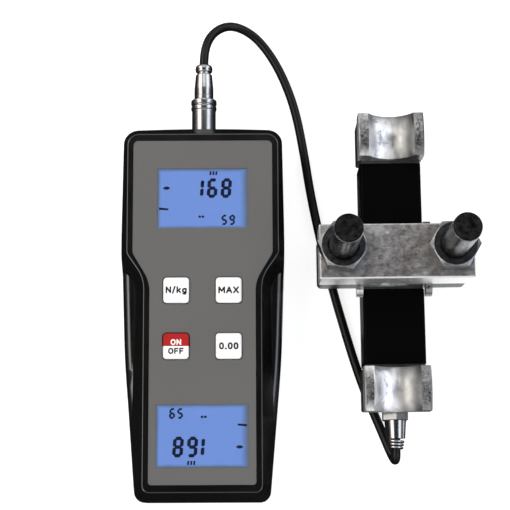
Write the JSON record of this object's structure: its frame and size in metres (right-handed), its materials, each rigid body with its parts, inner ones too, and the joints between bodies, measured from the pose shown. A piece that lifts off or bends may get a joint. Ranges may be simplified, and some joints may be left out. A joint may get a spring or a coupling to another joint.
{
  "type": "force gauge",
  "caption": "Hand-held digital force meter with two displays and four keys, joined by a cord to a clamp-on rope tension sensor.",
  "frame": {"origin": "centre of the meter's back face, on the surface it lies on", "axes": "+Z out of the meter's face, +Y along the meter towards its plug, +X towards the sensor"},
  "size_m": [0.1536, 0.2194, 0.0908],
  "materials": {
    "case_black": "high gloss black moulded plastic",
    "panel_grey": "matte grey printed overlay",
    "window_clear": "clear display window",
    "display_blue": "backlit blue liquid crystal display",
    "diffuser_white": "white backlight diffuser",
    "key_white": "white moulded key",
    "key_red": "white moulded key with a red upper half",
    "board_green": "green laminate",
    "switch_black": "moulded switch",
    "screw_steel": "zinc plated steel",
    "cell_metal": "printed cell jacket",
    "contact_metal": "nickel plated spring steel",
    "plug_chrome": "satin chrome plated brass",
    "insert_black": "black insulator with plated contacts",
    "cord_black": "black satin cable jacket",
    "beam_steel": "ground dark steel",
    "saddle_metal": "polished machined steel",
    "plate_metal": "ground steel",
    "stud_steel": "black oxide steel",
    "nut_steel": "blackened steel with bright edges",
    "cover_black": "black rubber sleeve",
    "gauge_foil": "foil strain gauge",
    "gland_nickel": "nickel plated brass"
  },
  "bodies": {
    "root": {"front_housing": "case_black", "rear_housing": "case_black", "front_panel": "panel_grey", "upper_window": "window_clear", "lower_window": "window_clear", "upper_display": "display_blue", "lower_display": "display_blue", "upper_backlight": "diffuser_white", "lower_backlight": "diffuser_white", "key_switches": "switch_black", "main_board": "board_green", "board_screws": "screw_steel", "housing_screws": "screw_steel", "batteries": "cell_metal", "battery_contacts": "contact_metal", "socket_shell": "plug_chrome", "socket_insert": "insert_black", "plug_core": "plug_chrome", "plug_nut": "plug_chrome", "plug_insert": "insert_black", "signal_cord": "cord_black", "beam": "beam_steel", "upper_saddle": "saddle_metal", "lower_saddle": "saddle_metal", "middle_saddle": "saddle_metal", "saddle_screws": "screw_steel", "strain_gauges": "gauge_foil", "upper_cover": "cover_black", "lower_cover": "cover_black", "studs": "stud_steel", "gland_body": "gland_nickel", "gland_barrel": "gland_nickel", "strain_spring": "gland_nickel"},
    "unit_button": {"key_unit": "key_white"},
    "peak_button": {"key_peak": "key_white"},
    "power_button": {"key_power": "key_red"},
    "zero_button": {"key_zero": "key_white"},
    "door": {"battery_door": "case_black"},
    "sleeve": {"plug_sleeve": "plug_chrome"},
    "clamp": {"clamp_plate": "plate_metal"},
    "nut_left": {"left_nut": "nut_steel"},
    "nut_right": {"right_nut": "nut_steel"}
  },
  "joints": [
    {"name": "unit_press", "type": "slide", "parent": "root", "child": "unit_button", "axis": [0, 0, -1], "range_m": [0, 0.0007], "stiffness_N_per_m": 900},
    {"name": "peak_press", "type": "slide", "parent": "root", "child": "peak_button", "axis": [0, 0, -1], "range_m": [0, 0.0007], "stiffness_N_per_m": 900},
    {"name": "power_press", "type": "slide", "parent": "root", "child": "power_button", "axis": [0, 0, -1], "range_m": [0, 0.0007], "stiffness_N_per_m": 900},
    {"name": "zero_press", "type": "slide", "parent": "root", "child": "zero_button", "axis": [0, 0, -1], "range_m": [0, 0.0007], "stiffness_N_per_m": 900},
    {"name": "door_slide", "type": "slide", "parent": "root", "child": "door", "axis": [0, -1, 0], "range_m": [0, 0.06]},
    {"name": "sleeve_pull", "type": "slide", "parent": "root", "child": "sleeve", "axis": [0, 1, 0], "range_m": [0, 0.0015], "stiffness_N_per_m": 1500},
    {"name": "clamp_lift", "type": "slide", "parent": "root", "child": "clamp", "axis": [0, 0, 1], "range_m": [0, 0.026]},
    {"name": "left_nut_turn", "type": "hinge", "parent": "clamp", "child": "nut_left", "pos_m": [0.05989, 0.02424, 0.044], "axis": [0, 0, 1], "range_deg": [-1, 5354]},
    {"name": "right_nut_turn", "type": "hinge", "parent": "clamp", "child": "nut_right", "pos_m": [0.10689, 0.02456, 0.044], "axis": [0, 0, 1], "range_deg": [-1, 5354]}
  ],
  "couplings": [
    {"joint": "left_nut_turn", "follows": "clamp_lift", "rad_per_m": 3590.4},
    {"joint": "right_nut_turn", "follows": "clamp_lift", "rad_per_m": 3590.4}
  ]
}
